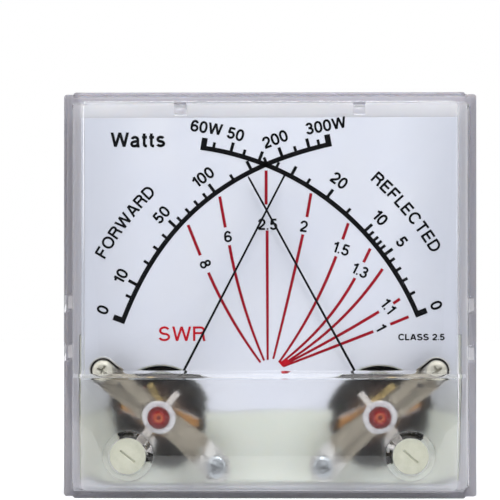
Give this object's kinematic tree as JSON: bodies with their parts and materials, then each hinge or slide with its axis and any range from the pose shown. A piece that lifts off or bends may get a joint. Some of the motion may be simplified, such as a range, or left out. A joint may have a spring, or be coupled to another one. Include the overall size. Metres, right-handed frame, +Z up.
{
  "type": "cross-needle panel meter",
  "caption": "Clear-fronted square panel meter with crossing needles over a white dial, moving-coil movements, slotted zero adjusters and rear terminals.",
  "frame": {"origin": "on the flat bottom of the case, on the middle line, in the plane where the side flanges seat against a panel", "axes": "+X to the right seen from the front, +Y from the dial towards the terminals, +Z up"},
  "size_m": [0.0808, 0.0353, 0.0786],
  "materials": {
    "aluminium": "plain",
    "brass": "bright turned or stamped brass",
    "bridge_metal": "satin metal",
    "bronze": "phosphor bronze",
    "case_plastic": "milky moulded plastic",
    "clear_cover": "clear polystyrene, frosted inside below the step",
    "copper": "enamelled copper wire, lacquered",
    "dial_white": "white lacquer, printed",
    "insulator": "insulating nut",
    "lever_metal": "plain aluminium",
    "magnet": "ground magnet alloy",
    "needle_black": "matt black paint",
    "nickel": "nickel plated",
    "red_lacquer": "red locking lacquer over brass",
    "ruby": "synthetic ruby",
    "screw_plastic": "translucent nylon",
    "soft_iron": "blackened soft iron",
    "spring_steel": "polished",
    "tinned": "tinned",
    "zinc": "zinc plated"
  },
  "bodies": {
    "case": {"front_cover": "clear_cover", "rear_case": "case_plastic", "dial_plate": "dial_white", "movement_frame": "case_plastic", "bridge_pillars": "brass", "bridge_spacers": "nickel", "bridge_screws": "zinc", "contact_strips": "brass", "rear_bridge_screws": "zinc", "pivot_jewels": "ruby", "terminal_studs": "brass", "terminal_washers": "zinc", "terminal_lugs": "tinned", "terminal_nuts": "brass", "yoke_ring_left": "soft_iron", "core_magnet_left": "magnet", "core_clamps_left": "brass", "front_bridge_left": "bridge_metal", "rear_bridge_left": "bridge_metal", "front_jewel_screw_left": "red_lacquer", "rear_jewel_screw_left": "brass", "jewel_nut_left": "insulator", "spring_tag_left": "brass", "yoke_ring_right": "soft_iron", "core_magnet_right": "magnet", "core_clamps_right": "brass", "front_bridge_right": "bridge_metal", "rear_bridge_right": "bridge_metal", "front_jewel_screw_right": "red_lacquer", "rear_jewel_screw_right": "brass", "jewel_nut_right": "insulator", "spring_tag_right": "brass"},
    "adjuster_left": {"zero_screw_left": "screw_plastic", "screw_clip_left": "spring_steel"},
    "lever_left": {"zero_lever_left": "lever_metal"},
    "moving_coil_left": {"coil_former_left": "aluminium", "coil_winding_left": "copper", "pivot_staffs_left": "spring_steel", "needle_hub_left": "brass", "needle_left": "needle_black", "balance_weights_left": "nickel", "front_hairspring_left": "bronze", "rear_hairspring_left": "bronze"},
    "adjuster_right": {"zero_screw_right": "screw_plastic", "screw_clip_right": "spring_steel"},
    "lever_right": {"zero_lever_right": "lever_metal"},
    "moving_coil_right": {"coil_former_right": "aluminium", "coil_winding_right": "copper", "pivot_staffs_right": "spring_steel", "needle_hub_right": "brass", "needle_right": "needle_black", "balance_weights_right": "nickel", "front_hairspring_right": "bronze", "rear_hairspring_right": "bronze"}
  },
  "joints": [
    {"name": "adjuster_turn_left", "type": "hinge", "parent": "case", "child": "adjuster_left", "pos_m": [-0.0274, -0.004, 0.0081], "axis": [0, 1, 0], "range_deg": [-40, 40]},
    {"name": "lever_turn_left", "type": "hinge", "parent": "case", "child": "lever_left", "pos_m": [-0.0215, -0.002, 0.0153], "axis": [0, 1, 0], "range_deg": [-5, 5]},
    {"name": "needle_swing_left", "type": "hinge", "parent": "lever_left", "child": "moving_coil_left", "pos_m": [-0.0215, 0.001, 0.0153], "axis": [0, 1, 0], "range_deg": [-20, 43], "stiffness_Nm_per_rad": 0.00002, "springref_deg": 40.9, "deforming": ["front_hairspring_left", "rear_hairspring_left"]},
    {"name": "adjuster_turn_right", "type": "hinge", "parent": "case", "child": "adjuster_right", "pos_m": [0.0274, -0.004, 0.0081], "axis": [0, 1, 0], "range_deg": [-40, 40]},
    {"name": "lever_turn_right", "type": "hinge", "parent": "case", "child": "lever_right", "pos_m": [0.0215, -0.002, 0.0153], "axis": [0, 1, 0], "range_deg": [-5, 5]},
    {"name": "needle_swing_right", "type": "hinge", "parent": "lever_right", "child": "moving_coil_right", "pos_m": [0.0215, 0.001, 0.0153], "axis": [0, 1, 0], "range_deg": [-43, 20], "stiffness_Nm_per_rad": 0.00002, "springref_deg": -40.8, "deforming": ["front_hairspring_right", "rear_hairspring_right"]}
  ],
  "couplings": [
    {"joint": "lever_turn_left", "follows": "adjuster_turn_left", "ratio": -0.1108},
    {"joint": "lever_turn_right", "follows": "adjuster_turn_right", "ratio": -0.1108}
  ]
}
